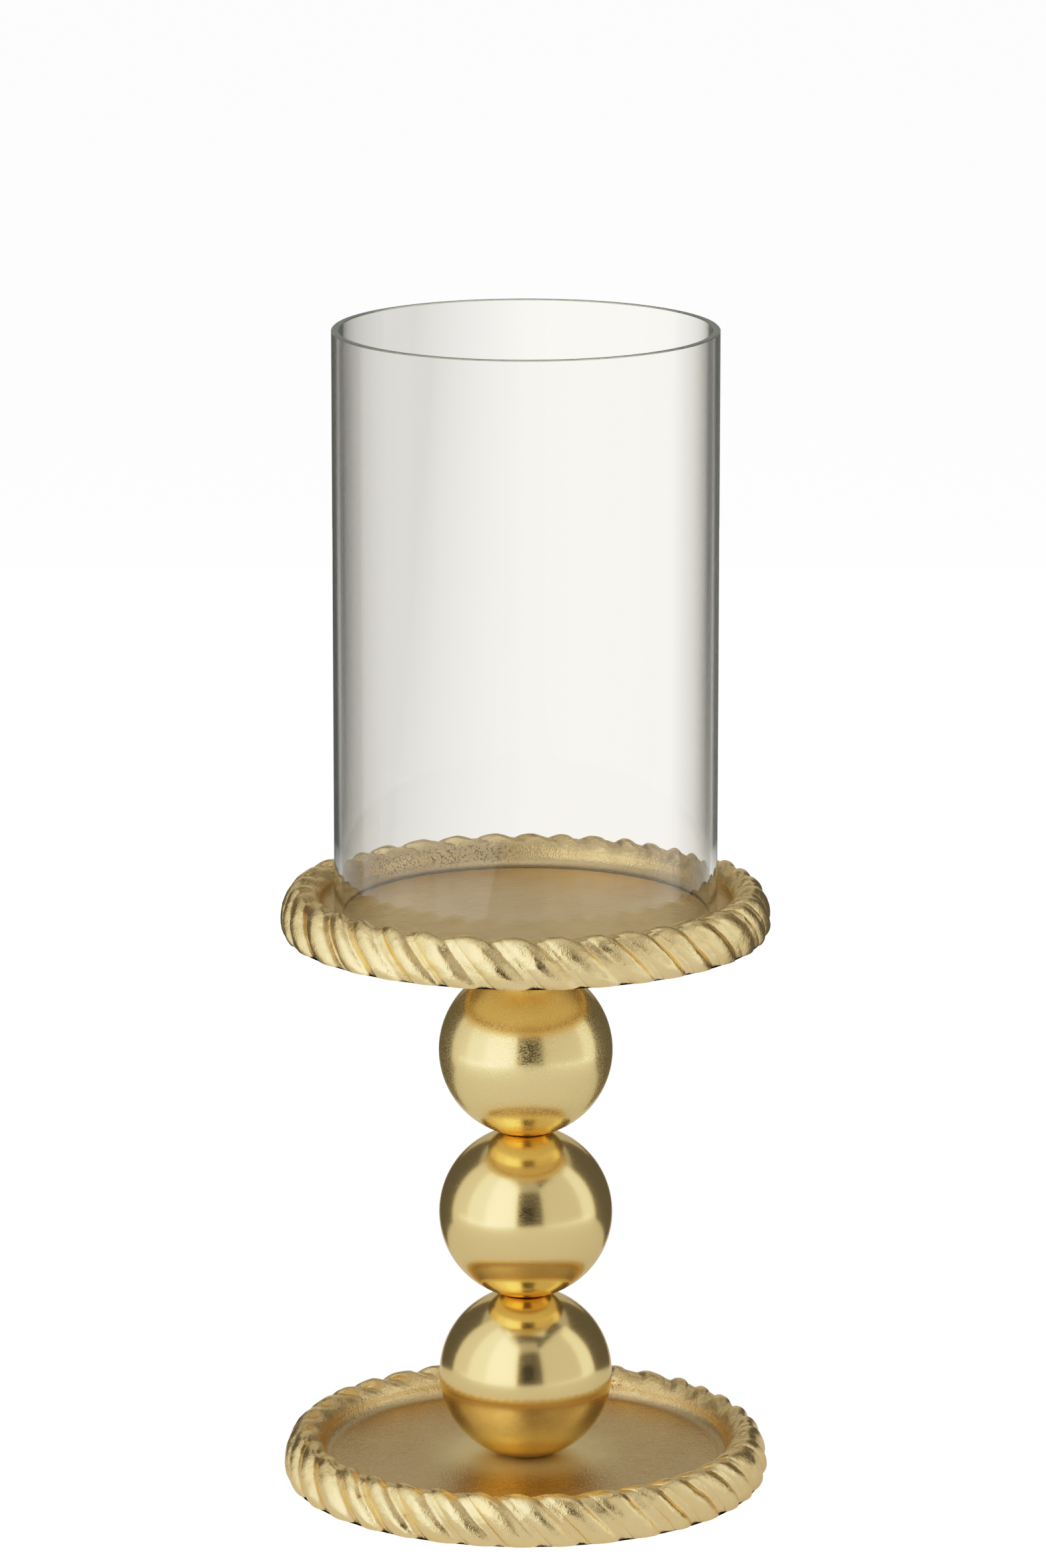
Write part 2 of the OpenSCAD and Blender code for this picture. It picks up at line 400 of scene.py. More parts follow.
def felt_material():
    """Pressed wool felt."""
    s = Shader("felt")
    fibres = s.noise(1500, 5, 0.7, distortion=2.5)
    s.set("Base Color", s.mix(s.remap(fibres, 0.3, 0.7), (0.030, 0.021, 0.014, 1), (0.085, 0.062, 0.043, 1)))
    s.set("Roughness", s.remap(fibres, 0.3, 0.7, 0.85, 1.0))
    s.set("Sheen Weight", 0.6)
    s.set("Sheen Roughness", 0.6)
    s.set("Normal", s.bump(fibres, 0.12 * MM, strength=0.8))
    return s.material


# ---- The rope rim ----

def rope_point(a, depth):
    """Radius and height of the rope's surface at section angle a, with the surface sunk by depth."""
    inner = a > math.pi / 2
    outer = (a > 0) & ~inner
    cos, sin = np.cos(a), np.sin(a)
    radius = CREST_R + np.where(inner, ROPE_IN - ROPE_SINK - depth, ROPE_OUT - depth) * cos
    inner_z = RIM_H - INNER_ARC_H + (INNER_ARC_H - depth) * sin
    outer_z = BELLY_Z + (RIM_H - BELLY_Z - depth) * sin
    height = np.where(inner, inner_z, np.where(outer, outer_z, BELLY_Z + TUCK_H * sin))
    return radius, height


def rope_angles():
    """Section angles of the rope's rows, evenly spaced along its surface."""
    fine = np.linspace(ROPE_START, ROPE_END, 600)
    radius, height = rope_point(fine, np.zeros_like(fine))
    along = np.concatenate([[0], np.cumsum(np.hypot(np.diff(radius), np.diff(height)))])
    return np.interp(np.linspace(0, along[-1], ROPE_ROWS), along, fine)


def strand_relief(share, along, rng):
    """Three arrays (rows, columns): how deep the surface lies, 0 on a strand's crown and 1 in its crease;
    how far it is into the bed with the drawn lines; and how ochre it is. share is where a column lies
    between two strands' edges, and along is 0 to 1 down the rope's section. A round body falls to the
    crease, and a bed rises from there to the next strand's edge, which is marked by a small notch."""
    def per_strand(low, high):
        return np.repeat(rng.uniform(low, high, STRANDS), STRAND_COLUMNS)[None, :]

    share = np.broadcast_to(share[None, :], (len(along), share.size))
    drift = 0.03 * np.sin(along[:, None] * per_strand(2, 5) + per_strand(0, TURN))
    crown = per_strand(0.30, 0.38) + drift
    valley = per_strand(0.70, 0.76) + drift
    step = per_strand(0.52, 0.68)
    rise = step * np.clip(1 - share / crown, 0, 1) ** 2
    fall = np.clip((share - crown) / (valley - crown), 0, 1.3) ** per_strand(1.8, 2.3)
    body = rise + fall
    across = (share - valley) / (1 - valley)
    bed = 1 - (1 - step) * across
    bluntness = 0.09
    relief = -bluntness * np.log(np.exp(-body / bluntness) + np.exp(-bed / bluntness))
    notch = np.exp(-np.minimum(share, 1 - share) / 0.022)
    relief += 0.07 * notch * per_strand(0.5, 1.2)
    ochre = np.clip(0.85 * smoothstep(0.70, 0.90, relief) + 0.9 * notch * per_strand(0.4, 1.1), 0, 1)
    return np.clip(relief, 0, 1.1), np.clip(across, 0, 1), ochre


def strand_columns(rng):
    """The angle of each column at the strands' inner ends, and its place between two strands' edges."""
    widths = rng.uniform(0.80, 1.20, STRANDS)
    edges = np.concatenate([[0], np.cumsum(widths)]) * TURN / widths.sum()
    body_columns = 15
    body_share = 0.68
    body = body_share * (np.arange(body_columns) / body_columns) ** 1.3
    bed_columns = STRAND_COLUMNS - body_columns
    bed = 1 - (1 - body_share) * (1 - np.arange(bed_columns) / bed_columns) ** 1.2
    share = np.tile(np.concatenate([body, bed]), STRANDS)
    start = np.repeat(edges[:-1], STRAND_COLUMNS)
    width = np.repeat(np.diff(edges), STRAND_COLUMNS)
    return start + share * width, share


def rope_rings(rng):
    """Radius, height, turn, ochre and place across the drawn bed, each an array (rows, columns)."""
    angle, share = strand_columns(rng)
    a = rope_angles()[:, None]
    along = np.linspace(0, 1, ROPE_ROWS)
    relief, across, ochre = strand_relief(share, along, rng)
    depth = CREASE_DEPTH * np.repeat(rng.uniform(0.85, 1.15, STRANDS), STRAND_COLUMNS)[None, :]
    degrees = np.degrees(a)
    fade = np.interp(degrees, RELIEF_AT, RELIEF_SHARE)
    raised = 1 - np.clip(relief * 1.2, 0, 1)
    tip = CROWN_RISE * np.exp(-((degrees - 88) / 30) ** 2) * raised
    turn = angle[None, :] + STRAND_LEAN * along[:, None]
    radius, height = rope_point(a, np.zeros_like(relief))
    places = np.stack([radius * np.cos(turn), radius * np.sin(turn), height], -1)
    dents = waves(places, rng, 9 * MM) * 0.12 * MM + waves(places, rng, 3.2 * MM) * 0.05 * MM
    dents = np.clip(dents, -0.3 * MM, 0.3 * MM) * smoothstep(165, 150, degrees)
    sunk = depth * relief * fade - tip + dents
    sunk = np.maximum(sunk, np.where(degrees < 25, 0.02 * MM, -0.9 * MM))
    radius, height = rope_point(a, sunk)
    return radius, height, turn, ochre * fade, across


# ---- The dishes ----

def plain_rows(section, turn, columns):
    """Rows of constant radius and height, at the given columns' angles."""
    section = np.array(section, float)
    shape = (len(section), columns)
    radius = np.broadcast_to(section[:, 0][:, None], shape)
    height = np.broadcast_to(section[:, 1][:, None], shape)
    return radius, height, np.broadcast_to(turn[None, :], shape)


def dish(name, bottom_z, seed, under_section, material, stains, tarnished, sand_share_and_painted_light, closed_floor):
    """A dish from its floor's middle out over the rope to its underside. under_section is the half section
    of what comes inside the foot ring, from the underside in to the bore. stains are (angle, height, size)
    of single spots, and tarnished is the angles between which the inner wall is speckled. A closed floor
    has no hole for the rod, and the floor that has one gets a painted glow round it, for the lowest ball's
    reflection."""
    rng = np.random.default_rng(seed)
    rope_r, rope_z, rope_turn, ochre, across = rope_rings(rng)
    columns = rope_turn.shape[1]
    inner_turn, outer_turn = rope_turn[0], rope_turn[-1]
    middle = 2 * MM if closed_floor else HOLE_R
    floor = [(r, FLOOR_Z) for r in np.linspace(middle, FLOOR_R, 11)]
    fillet = arc((FLOOR_R, FLOOR_Z + FILLET_R), FILLET_R, -90, 0, 8)[1:]
    wall_top = rope_point(np.array(ROPE_START), np.array(0.0))
    wall = [(WALL_R + 0.3 * (wall_top[0] - WALL_R), FLOOR_Z + FILLET_R + 0.4 * MM)]
    upper = plain_rows(floor + fillet + wall, inner_turn, columns)
    foot_radii = (CREST_R + 5.7 * MM, CREST_R + 2 * MM, RING_IN_R + 4 * MM, RING_IN_R + 0.5 * MM)
    foot = [(r, 0) for r in foot_radii]
    recess = [(RING_IN_R, 0.5 * MM), (RING_IN_R, UNDER_Z - 1.2 * MM), (RING_IN_R - 1.2 * MM, UNDER_Z)]
    lower = plain_rows(foot + recess + under_section, outer_turn, columns)
    radius = np.concatenate([upper[0], rope_r, lower[0]])
    height = np.concatenate([upper[1], rope_z, lower[1]])
    turn = np.concatenate([upper[2], rope_turn, lower[2]])
    grid = np.stack([radius * np.cos(turn), radius * np.sin(turn), height], -1)
    cast = waves(grid, rng, 30 * MM) * 0.06 * MM
    clear = smoothstep(10 * MM, 22 * MM, radius) * (1 - smoothstep(56 * MM, 64 * MM, radius))
    under = np.arange(len(radius))[:, None] >= len(upper[0]) + ROPE_ROWS + len(foot) + 2
    grid[..., 2] += cast * clear * np.where(under, 2.0, 1.0)
    grid[..., 2] += bottom_z
    end = "point" if closed_floor else "open"
    made = ring_mesh(name, grid, end, end, (material,), 48)
    zeros = np.zeros_like(radius)
    rope = slice(len(upper[0]), len(upper[0]) + ROPE_ROWS)
    for attribute, values in (("crease", ochre), ("lane", across)):
        spread = zeros.copy()
        spread[rope] = values
        add_attribute(made, attribute, spread)
    grit = zeros.copy()
    grit[len(floor):len(upper[0])] = 1
    grit[rope] = np.interp(np.degrees(rope_angles()), (100, 138), (0, 1))[:, None]
    add_attribute(made, "grit", grit)
    along = zeros.copy()
    along[rope] = np.linspace(0, 1, ROPE_ROWS)[:, None]
    add_attribute(made, "along", along)
    # Round the base's hole, under the lowest ball, the floor is less sandy and so lighter: part of the
    # painted glow, not the casting's tone.
    sand_and_glow_floor = np.interp([r for r, _ in floor], [14 * MM, 32 * MM], [1 if closed_floor else 0.45, 1])
    row_floor = np.concatenate([
        sand_and_glow_floor, np.linspace(1, 0, len(fillet)) ** 2, [0],
        np.zeros(ROPE_ROWS), np.full(len(lower[0]), 0.4),
    ])
    # The sandy floor tone and its roughness are the casting's own; its lower share on the candle dish is
    # painted light, for the light that reaches that floor through the glass.
    add_attribute(made, "floor", zeros + sand_share_and_painted_light * row_floor[:, None])
    wall_z = smoothstep(8.4 * MM, 9.5 * MM, height) * (1 - smoothstep(14 * MM, 17 * MM, height))
    off_middle = np.abs((turn - sum(tarnished) / 2 + math.pi) % TURN - math.pi)
    half_width = (tarnished[1] - tarnished[0]) / 2
    inside = (radius > FLOOR_R) & (radius < CREST_R - 3 * MM)
    speckled = wall_z * inside * (1 - smoothstep(0.6 * half_width, half_width, off_middle))
    add_attribute(made, "tarnish", speckled)
    # Painted glow round the base's hole, standing in for the lowest ball's amber reflection on the floor.
    glow_round_hole = 0 if closed_floor else 1
    painted_ball_glow = glow_round_hole * (1 - smoothstep(14 * MM, 42 * MM, radius)) * (height > UNDER_Z + 1 * MM)
    add_attribute(made, "painted_ball_glow", painted_ball_glow)
    stain = zeros.copy()
    for angle, height_above, size in stains:
        spot = np.abs((turn - angle + math.pi) % TURN - math.pi) * radius
        away = np.hypot(spot, grid[..., 2] - bottom_z - height_above)
        outside = radius > FLOOR_R
        stain = np.maximum(stain, (1 - smoothstep(0.4 * size, size, away)) * outside)
    add_attribute(made, "stain", stain)
    return made


def base_plate(material):
    """The lower dish, flat underneath, with the rod's hole."""
    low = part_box("base_plate")[0]
    radii = np.linspace(RING_IN_R - 4 * MM, HOLE_R + 0.4 * MM, 10)
    under = [(r, UNDER_Z) for r in radii] + [(HOLE_R, UNDER_Z + 0.4 * MM), (HOLE_R, FLOOR_Z - 0.3 * MM)]
    rust = [(math.radians(-133.9), 11 * MM, 0.9 * MM), (math.radians(-120), 8 * MM, 0.5 * MM)]
    rubbed = (math.radians(60), math.radians(72))
    made = dish("base_dish", low.z, 11, under, material, rust, rubbed, 1.0, False)
    return place(made, "holder", "gilt_casting", "base_plate")


def candle_plate(material):
    """The upper dish, with the hub that the rod screws into."""
    ball_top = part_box("ball_upper")[1].z
    bottom = GLASS_LOW.z - FLOOR_Z
    hub_z = ball_top - bottom
    flare_r = HUB_R + HUB_FLARE_R
    radii = np.linspace(RING_IN_R - 4 * MM, flare_r + 3 * MM, 7)
    under = [(r, UNDER_Z) for r in radii]
    under += arc((flare_r, UNDER_Z - HUB_FLARE_R), HUB_FLARE_R, 90, 180, 8)
    under += [(HUB_R, hub_z + 0.5 * MM), (HUB_R - 0.5 * MM, hub_z), (BORE_R + 0.6 * MM, hub_z)]
    under += [(BORE_R, hub_z + 0.6 * MM), (BORE_R, hub_z + BORE_DEPTH - 1 * MM)]
    specks = [(math.radians(138 + 5 * i), (12.5 + 0.9 * (i % 2)) * MM, 0.45 * MM) for i in range(4)]
    speckled = (math.radians(88), math.radians(148))
    # Half the sandy floor tone: painted light, as this floor is lit through the glass.
    made = dish("candle_dish", bottom, 29, under, material, specks, speckled, 0.5, True)
    return place(made, "holder", "gilt_casting", "candle_plate")


# ---- The balls ----

def ball(name, material, seed, dull):
    """A hollow spun ball with a small flat and a hole at each end. dull is 0 to 1."""
    low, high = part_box(name)
    middle = (low.z + high.z) / 2
    half = (high.z - low.z) / 2
    flat = math.degrees(math.asin((half - 0.15 * MM) / BALL_R))
    flat_r = math.sqrt(BALL_R ** 2 - half ** 2) - 0.6 * MM
    inner_r = BALL_R - BALL_WALL
    hole = math.degrees(math.acos(HOLE_R / inner_r))
    outside = arc((0, 0), BALL_R, flat, -flat, 110)
    inside = arc((0, 0), inner_r, -hole, hole, 40)
    section = [(HOLE_R, half - 0.3 * MM), (HOLE_R + 0.3 * MM, half), (flat_r, half)] + outside
    section += [(flat_r, -half), (HOLE_R + 0.3 * MM, -half), (HOLE_R, -half + 0.3 * MM)] + inside
    grid = spun(section, 200)
    rng = np.random.default_rng(seed)
    swell = waves(grid, rng, 26 * MM) * 0.010 * MM + waves(grid, rng, 9 * MM) * 0.0022 * MM
    distance = np.linalg.norm(grid, axis=-1)
    free = smoothstep(half, half - 4 * MM, np.abs(grid[..., 2])) * (distance > BALL_R - 1 * MM)
    sink = np.maximum(0.03 * MM - swell, 0) * free
    grid *= (1 - sink / np.maximum(distance, 1 * MM))[..., None]
    grid[..., 2] += middle
    made = ring_mesh("satin_" + name, grid, materials=(material,), sharp=35)
    add_attribute(made, "dull", np.full(grid.shape[:2], dull))
    return place(made, "holder", "satin_gold", name)


# ---- The glass ----

def glass(clear, ground):
    """A drawn cylinder, its ends ground flat and the edges lightly bevelled."""
    inner_r = GLASS_R - GLASS_WALL
    edge = 0.4 * MM
    height = GLASS_HIGH.z - GLASS_LOW.z
    levels = np.linspace(edge, height - edge, 40)
    section = [(inner_r + edge, 0), (GLASS_R - edge, 0)]
    section += [(GLASS_R, z) for z in levels]
    section += [(GLASS_R - edge, height), (inner_r + edge, height)]
    section += [(inner_r, z) for z in levels[::-1]]
    columns = 256
    grid = spun(section, columns)
    rng = np.random.default_rng(5)
    turn = np.arange(columns) * TURN / columns
    height_share = np.array([z for _, z in section])[:, None] / height
    drawn = sum(
        rng.uniform(0.3, 1) / n
        * np.cos(n * turn[None, :] + rng.uniform(0, TURN) + rng.uniform(-1, 1) * height_share)
        for n in range(3, 12)
    )
    inside = np.hypot(grid[..., 0], grid[..., 1]) < GLASS_R - GLASS_WALL / 2
    grid[..., :2] *= (1 - np.where(inside, -0.035, 0.0) * MM * drawn / GLASS_R)[..., None]
    grid[..., 2] += GLASS_LOW.z
    made = ring_mesh("glass_tube", grid, materials=(clear, ground), sharp=25)
    for face in made.data.polygons:
        z = face.center.z
        face.material_index = int(z < GLASS_LOW.z + edge or z > GLASS_HIGH.z - edge)
    return place(made, "glass", "clear_glass", "glass_cylinder")


# ---- The rod and what holds it ----

def threaded_rod(material):
    """A rod with one helical thread, chamfered at both ends."""
    low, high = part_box("threaded_rod")
    rod_r = high.x
    columns = 24
    rows = int((high.z - low.z) / THREAD_PITCH * 6)
    z = np.linspace(low.z, high.z, rows)[:, None]
    turn = np.arange(columns)[None, :] * TURN / columns
    phase = (z / THREAD_PITCH - turn / TURN) % 1
    radius = rod_r - THREAD_DEPTH * np.clip(np.abs(2 * phase - 1) * 1.25 - 0.125, 0, 1)
    end = np.minimum(z - low.z, high.z - z)
    radius = np.minimum(radius, rod_r - 0.8 * MM + end)
    grid = np.stack([radius * np.cos(turn), radius * np.sin(turn), np.broadcast_to(z, radius.shape)], -1)
    made = ring_mesh("rod_thread", grid, "point", "point", (material,), 50)
    return place(made, "holder", "zinc_steel", "threaded_rod")


def base_washer(material):
    """A stamped washer, rolled on one face and with a small burr on the other."""
    low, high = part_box("base_washer")
    thick = high.z - low.z
    inner, outer = 3.2 * MM, high.x
    roll, burr = 0.35 * MM, 0.1 * MM
    section = [(inner, burr), (inner + burr, 0), (outer - burr, 0), (outer, burr), (outer, thick - roll)]
    section += arc((outer - roll, thick - roll), roll, 0, 90, 5)[1:]
    section += arc((inner + roll, thick - roll), roll, 90, 180, 5)
    grid = spun(section, 96)
    grid[..., 2] += low.z
    made = ring_mesh("wide_washer", grid, materials=(material,), sharp=50)
    return place(made, "holder", "zinc_steel", "base_washer")


def lock_washer(material):
    """A split ring of square wire, drawn flat by the nut."""
    low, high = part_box("lock_washer")
    thick = high.z - low.z
    inner, outer = 3.1 * MM, high.x
    half_gap = math.asin(0.4 * MM / ((inner + outer) / 2))
    bevel = 0.15 * MM
    wire = [
        (inner, bevel), (inner + bevel, 0), (outer - bevel, 0), (outer, bevel),
        (outer, thick - bevel), (outer - bevel, thick), (inner + bevel, thick), (inner, thick - bevel),
    ]
    rings = 90
    turn = math.radians(20) + np.linspace(half_gap, TURN - half_gap, rings)[:, None]
    radius = np.array(wire)[:, 0][None, :]
    height = np.broadcast_to(np.array(wire)[:, 1][None, :] + low.z, (rings, len(wire)))
    grid = np.stack([radius * np.cos(turn), radius * np.sin(turn), height], -1)
    made = ring_mesh("split_washer", grid, "point", "point", (material,), 50)
    return place(made, "holder", "zinc_steel", "lock_washer")


def base_nut(material):
    """A hexagon with both faces turned to a cone, and a countersunk thread."""
    low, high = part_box("base_nut")
    thick = high.z - low.z
    flat_r = 5 * MM
    face_r = 4.75 * MM
    columns = 144
    turn = np.arange(columns) * TURN / columns
    hexagon = flat_r / np.cos((turn + TURN / 12) % (TURN / 6) - TURN / 12)
    cone = (hexagon - face_r) * math.tan(math.radians(30))
    ones = np.ones(columns)
    rings = [
        (BORE_R * ones, 0.4 * MM * ones), ((BORE_R + 0.4 * MM) * ones, 0 * ones), (face_r * ones, 0 * ones),
        (hexagon, cone), (hexagon, thick - cone), (face_r * ones, thick * ones),
        ((BORE_R + 0.4 * MM) * ones, thick * ones), (BORE_R * ones, (thick - 0.4 * MM) * ones),
    ]
    grid = np.array([np.stack([r * np.cos(turn), r * np.sin(turn), z + low.z], -1) for r, z in rings])
    made = ring_mesh("thin_nut", grid, materials=(material,), sharp=25)
    return place(made, "holder", "zinc_steel", "base_nut")


def foot(index, material):
    """A felt disc, its edge rounded and slightly ragged."""
    name = f"base_foot_{index}"
    low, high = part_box(name)
    middle = (low + high) / 2
    radius = (high.x - low.x) / 2
    thick = high.z - low.z
    edge = 0.4 * MM
    section = [(r, 0) for r in np.linspace(0.3 * MM, radius - edge, 7)]
    section += arc((radius - edge, edge), edge, -90, 0, 4)[1:]
    section += [(radius, thick * 0.55), (radius, thick), (radius - edge, thick)]
    section += [(r, thick) for r in np.linspace(radius * 0.7, 0.3 * MM, 4)]
    grid = spun(section, 72)
    rng = np.random.default_rng(40 + index)
    fluff = np.abs(waves(grid, rng, 0.9 * MM)) * 0.05 * MM
    out = np.hypot(grid[..., 0], grid[..., 1])
    grid[..., :2] *= (1 - fluff * smoothstep(0.6, 1.0, out / radius) / radius)[..., None]
    grid += np.array([middle.x, middle.y, low.z])
    made = ring_mesh(f"felt_foot_{index}", grid, "point", "point", (material,), 60)
    return place(made, "holder", "felt", name)


# ---- The studio: surfaces and lights for the camera's side, kept apart by what kind of ray sees them ----

def flat_shape(name, outline, z):
    """A single flat face of the studio, from plan points."""
    mesh = bpy.data.meshes.new(name)
    mesh.from_pydata([(x, y, z) for x, y in outline], [], [list(range(len(outline)))])
    made = bpy.data.objects.new(name, mesh)
    bpy.context.scene.collection.objects.link(made)
    return made


def seen_from_above(material):
    """Lets the camera look through a surface from its underside."""
    tree = material.node_tree
    output = tree.nodes["Material Output"]
    backfacing = tree.nodes.new("ShaderNodeNewGeometry").outputs["Backfacing"]
    choice = tree.nodes.new("ShaderNodeMixShader")
    tree.links.new(backfacing, choice.inputs[0])
    tree.links.new(tree.nodes["Principled BSDF"].outputs[0], choice.inputs[1])
    tree.links.new(tree.nodes.new("ShaderNodeBsdfTransparent").outputs[0], choice.inputs[2])
    tree.links.new(choice.outputs[0], output.inputs["Surface"])
    return material


def round_outline(radius, first=0, last=360, steps=97):
    """Plan points on an arc, in degrees from +X. A full circle leaves out its last point, the first again."""
    turn = np.radians(np.linspace(first, last, steps))
    points = [(radius * math.cos(t), radius * math.sin(t)) for t in turn]
    return points[:-1] if last - first == 360 else points


def pale_material(name, glow, white):
    """A pale matt surface that also gives the even light of a lit sweep."""
    s = Shader(name)
    s.set("Base Color", (white, white, white * 0.995, 1))
    s.set("Roughness", 1.0)
    s.set("Specular IOR Level", 0.0)
    s.set("Emission Color", PALE)
    s.set("Emission Strength", glow)
    return s.material


def table_material():
    """The grey table top, lighter towards its rim, where it meets the softboxes."""
    s = Shader("table_grey")
    away = s.add("ShaderNodeVectorMath", operation="LENGTH")
    s.put(away.inputs[0], s.coords)
    s.set("Base Color", (0.58, 0.58, 0.577, 1))
    s.set("Roughness", 1.0)
    s.set("Specular IOR Level", 0.0)
    s.set("Emission Color", PALE)
    s.set("Emission Strength", s.remap(away.outputs["Value"], 0.3, 1.2, 0.33, 0.62))
    return s.material


def sheet_material():
    """A warm white sheet, dimmer at its sides and in a band behind the glass, left of the middle."""
    s = Shader("sheet_warm")
    split = s.add("ShaderNodeSeparateXYZ")
    s.put(split.inputs[0], s.coords)
    place_x, place_y = split.outputs["X"], split.outputs["Y"]
    left = s.remap(place_x, -0.11, 0.0, 1.0, 0.0)
    far_left = s.remap(place_x, -0.8, -0.5, 0.0, 1.0)
    behind = s.remap(place_y, 0.25, 0.5)
    band = s.math("MULTIPLY", s.math("MULTIPLY", left, far_left), behind)
    off_side = s.remap(s.math("ABSOLUTE", place_x), 0.5, 1.1)
    off_side = s.math("MULTIPLY", off_side, s.remap(place_y, -0.4, 0.0))
    s.set("Base Color", (0, 0, 0, 1))
    s.set("Roughness", 1.0)
    s.set("Specular IOR Level", 0.0)
    lit = s.mix(band, (1, 0.974, 0.907, 1), (0.50, 0.495, 0.465, 1))
    s.set("Emission Color", s.mix(off_side, lit, (0.55, 0.535, 0.49, 1)))
    s.set("Emission Strength", 1.70)
    return s.material


def seen_by(piece, camera, glossy, diffuse, through, shadow):
    """Which kinds of ray see the piece. through is the rays that pass the glass."""
    piece.visible_camera = camera
    piece.visible_glossy = glossy
    piece.visible_diffuse = diffuse
    piece.visible_transmission = through
    piece.visible_shadow = shadow


def studio_surfaces():
    """Three surfaces at the object's foot: the pale floor that the camera sees, the warm sheet that shows
    through the glass, and the greyer table top that the metal reflects. A pale backdrop stands round them.
    The table top is a half disc in front and a wedge behind."""
    floor = flat_shape("studio_floor", round_outline(12), -0.4 * MM)
    floor.data.materials.append(seen_from_above(pale_material("floor_white", 1.75, 0.8)))
    seen_by(floor, True, False, True, False, False)
    sheet = flat_shape("warm_sheet", round_outline(12), -0.3 * MM)
    sheet.data.materials.append(sheet_material())
    seen_by(sheet, False, False, False, True, False)
    half_disc = round_outline(1.3, 176, 364)
    wedge = [(0.11, 0.16)] + round_outline(1.9, 79, 101, 5) + [(-0.11, 0.16)]
    table = flat_shape("table_top", half_disc + wedge, -0.2 * MM)
    table.data.materials.append(table_material())
    seen_by(table, False, True, False, False, False)
    turn = np.arange(64) * TURN / 64
    white = pale_material("backdrop_white", 2.0, 0.0)
    wall = np.array([[(12 * math.cos(t), 12 * math.sin(t), z) for t in turn] for z in (-1, 9)])
    backdrop = ring_mesh("backdrop", wall, "bare", "point")
    backdrop.data.materials.append(white)
    seen_by(backdrop, True, False, False, False, False)


def softbox(name, first, last, low, high, radiance, through=True):
    """A vertical softbox between two plan points (degrees left of the camera's side, distance), facing the
    object. Rays that pass the glass see it only where through is set."""
    ends = [
        Vector((-d * math.sin(math.radians(a)), -d * math.cos(math.radians(a)), 0)) for a, d in (first, last)
    ]
    along = (ends[1] - ends[0]).normalized()
    up = Vector((0, 0, 1))
    facing = along.cross(up)
    middle = (ends[0] + ends[1]) / 2 + up * (low + high) / 2
    if facing.dot(middle) > 0:
        along, facing = -along, -facing
    data = bpy.data.lights.new(name, "AREA")
    data.shape = "RECTANGLE"
    data.size = (ends[1] - ends[0]).length
    data.size_y = high - low
    data.energy = radiance * math.pi * data.size * data.size_y
    data.color = (1.0, 0.99, 0.97)
    lamp = bpy.data.objects.new(name, data)
    back = -facing
    lamp.matrix_world = Matrix((along, back.cross(along), back)).transposed().to_4x4()
    lamp.location = middle
    lamp.visible_camera = False
    lamp.visible_transmission = through
    bpy.context.scene.collection.objects.link(lamp)


def overhead(name, side, height, radiance):
    """A square softbox above the object, facing down."""
    data = bpy.data.lights.new(name, "AREA")
    data.shape = "SQUARE"
    data.size = side
    data.energy = radiance * math.pi * side * side
    lamp = bpy.data.objects.new(name, data)
    lamp.location = (0, 0, height)
    lamp.visible_camera = False
    bpy.context.scene.collection.objects.link(lamp)


def dark_card():
    """The dark stand in the gap between the softboxes, which the balls reflect as a dark stripe."""
    mesh = bpy.data.meshes.new("dark_card")
    left, right, low, high, y = -0.16, 0.24, -0.15, 0.62, -1.25
    corners = [(left, y, low), (right, y, low), (right, y, high), (left, y, high)]
    mesh.from_pydata(corners, [], [(0, 1, 2, 3)])
    card = bpy.data.objects.new("dark_card", mesh)
    bpy.context.scene.collection.objects.link(card)
    mesh.materials.append(pale_material("card_black", 0.02, 0.0))
    seen_by(card, False, True, False, False, False)


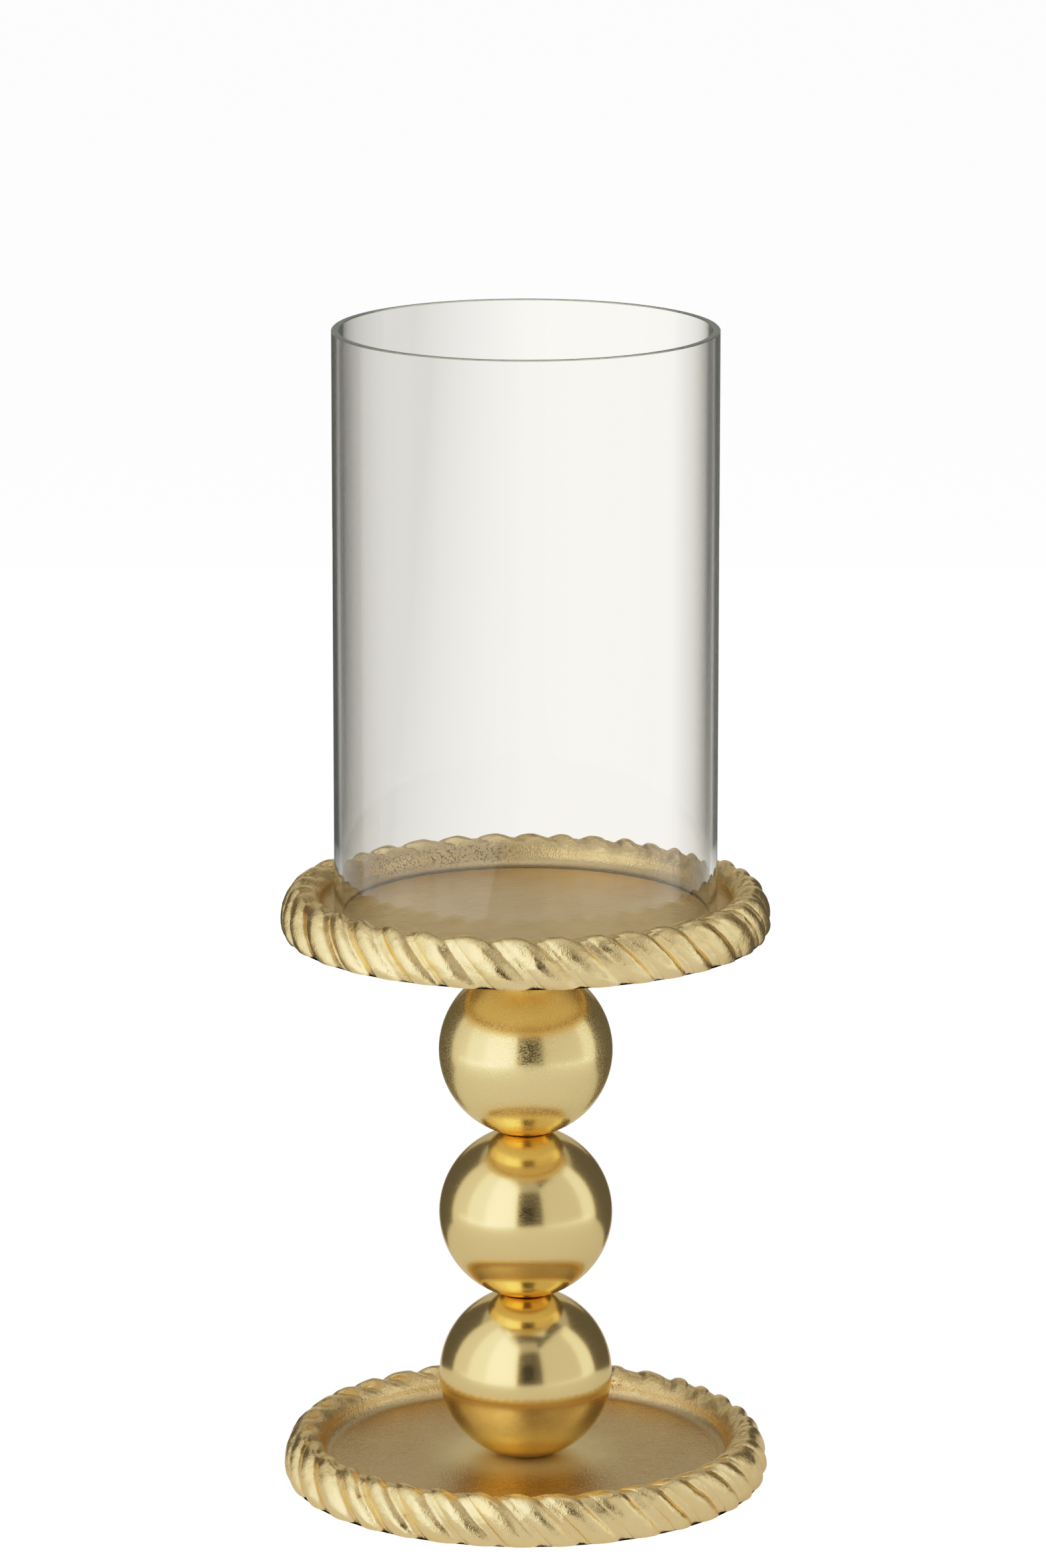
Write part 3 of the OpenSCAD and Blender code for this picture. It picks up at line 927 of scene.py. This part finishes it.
def studio_lights():
    """Softboxes at both sides with a gap in front, closed above by a bridge, and weaker fills behind."""
    dark_card()
    softbox("softbox_left", (12.6, 1.25), (112, 1.0), -0.12, 1.62, 0.80)
    softbox("softbox_left_mid", (12.6, 1.24), (82, 0.78), -0.12, 1.35, 0.52)
    softbox("softbox_left_core", (12.6, 1.23), (54, 0.80), -0.12, 1.25, 0.55)
    softbox("softbox_right", (-23, 1.2), (-102, 1.0), -0.12, 1.20, 0.66)
    softbox("softbox_right_edge", (-80, 0.98), (-104, 1.0), -0.12, 1.15, 0.50)
    softbox("softbox_bridge", (12.6, 1.25), (-23, 1.22), 1.10, 1.75, 0.40)
    softbox("fill_side_left", (112, 1.05), (157, 1.4), 1.0, 1.7, 0.40)
    softbox("fill_side_right", (-102, 1.05), (-157, 1.4), 1.0, 1.7, 0.40)
    softbox("fill_back", (157, 1.8), (-157, 1.8), 0.24, 1.5, 0.42)
    softbox("fill_back_low", (168, 1.8), (-168, 1.8), 0.0, 0.24, 0.42, through=False)
    overhead("softbox_top", 1.5, 1.75, 0.75)
    world = bpy.data.worlds.new("studio_dark")
    world.use_nodes = True
    world.node_tree.nodes["Background"].inputs["Color"].default_value = (1, 0.98, 0.95, 1)
    world.node_tree.nodes["Background"].inputs["Strength"].default_value = 0.11
    bpy.context.scene.world = world


def camera():
    """The photograph's viewpoint, from the perspective fit."""
    data = bpy.data.cameras.new("camera")
    data.lens = 170
    data.sensor_width = 36
    made = bpy.data.objects.new("camera", data)
    made.location = (-1 * MM, -2.628, 0.858)
    made.rotation_euler = (math.pi / 2 - 0.22227, 0, 0)
    data.clip_end = 100
    bpy.context.scene.collection.objects.link(made)
    bpy.context.scene.camera = made


def film_response():
    """A plain display transform with a soft shoulder, as in a bright product photograph."""
    settings = bpy.context.scene.view_settings
    settings.view_transform = "Standard"
    settings.use_curve_mapping = True
    curves = settings.curve_mapping
    curves.white_level = (2, 2, 2)
    combined = curves.curves[3]
    shoulder = ((0.2, 0.395), (0.285, 0.525), (0.375, 0.645), (0.5, 0.755), (0.675, 0.86), (0.88, 0.965))
    for x, y in shoulder:
        combined.points.new(x, y)
    curves.update()


gilt = gilt_material()
satin = satin_material()
zinc = zinc_material()
felt = felt_material()
base_plate(gilt)
candle_plate(gilt)
ball("ball_lower", satin, 70, 0.2)
ball("ball_middle", satin, 71, 0.35)
ball("ball_upper", satin, 72, 1.0)
glass(glass_material(), ground_glass_material())
threaded_rod(zinc)
base_washer(zinc)
lock_washer(zinc)
base_nut(zinc)
for foot_index in range(1, 5):
    foot(foot_index, felt)
studio_surfaces()
studio_lights()
camera()
film_response()
